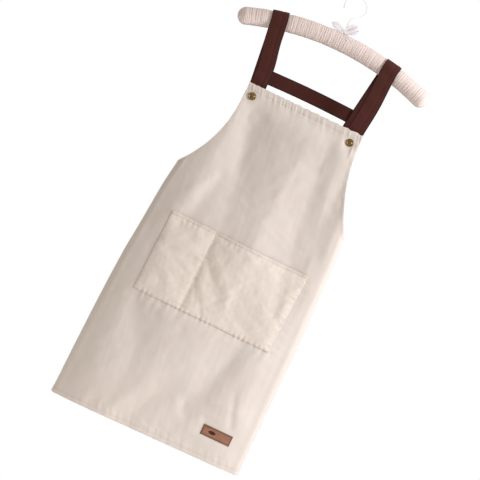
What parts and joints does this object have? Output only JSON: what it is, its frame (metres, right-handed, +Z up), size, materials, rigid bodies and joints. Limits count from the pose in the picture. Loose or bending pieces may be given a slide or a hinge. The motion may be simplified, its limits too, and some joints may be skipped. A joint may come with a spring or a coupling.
{
  "type": "apron on a padded hanger",
  "caption": "Bib apron with shoulder straps joined at the back, a divided pocket, snap fastenings and a leather label, hanging on a padded clothes hanger with a swivelling wire hook.",
  "frame": {"origin": "the hook's seat: the highest point inside its bend, where it rests on a rail", "axes": "+Z up, +X to the right of someone facing the apron's front, which faces -Y; the rail runs along Y"},
  "size_m": [0.4324, 0.0564, 0.9824],
  "materials": {
    "canvas": "plain woven cotton blend, matt",
    "strap_cloth": "dark brown twill, matt",
    "cover_cloth": "gathered lightweight cotton",
    "ribbon": "sheer satin ribbon",
    "wadding": "polyester wadding",
    "beech": "bent beech, sanded",
    "wire": "drawn steel wire",
    "sleeve": "pale woven tube",
    "leather": "smooth vegetable-tanned",
    "brass": "antique brass"
  },
  "bodies": {
    "hook": {"hook_wire": "wire", "hook_sleeve": "sleeve", "hook_collar": "wire", "hook_washer": "wire"},
    "hanger": {"hanger_core": "beech", "padding_left": "wadding", "padding_right": "wadding", "cover_left": "cover_cloth", "cover_right": "cover_cloth", "bow_ribbon": "ribbon", "bow_knot": "ribbon"},
    "apron": {"apron_panel": "canvas", "pocket_patch": "canvas", "label_patch": "leather", "strap_left": "strap_cloth", "strap_right": "strap_cloth", "cross_strap": "strap_cloth", "snap_cap_left": "brass", "snap_socket_left": "brass", "snap_stud_left": "brass", "snap_post_left": "brass", "snap_cap_right": "brass", "snap_socket_right": "brass", "snap_stud_right": "brass", "snap_post_right": "brass"}
  },
  "joints": [
    {"name": "hook_swivel", "type": "hinge", "parent": "hook", "child": "hanger", "pos_m": [0, 0, -0.09575], "axis": [0, 0, 1], "continuous": true},
    {"name": "apron_swing", "type": "hinge", "parent": "hanger", "child": "apron", "pos_m": [0, 0, -0.1094], "axis": [1, 0, 0], "range_deg": [-12, 12]}
  ]
}
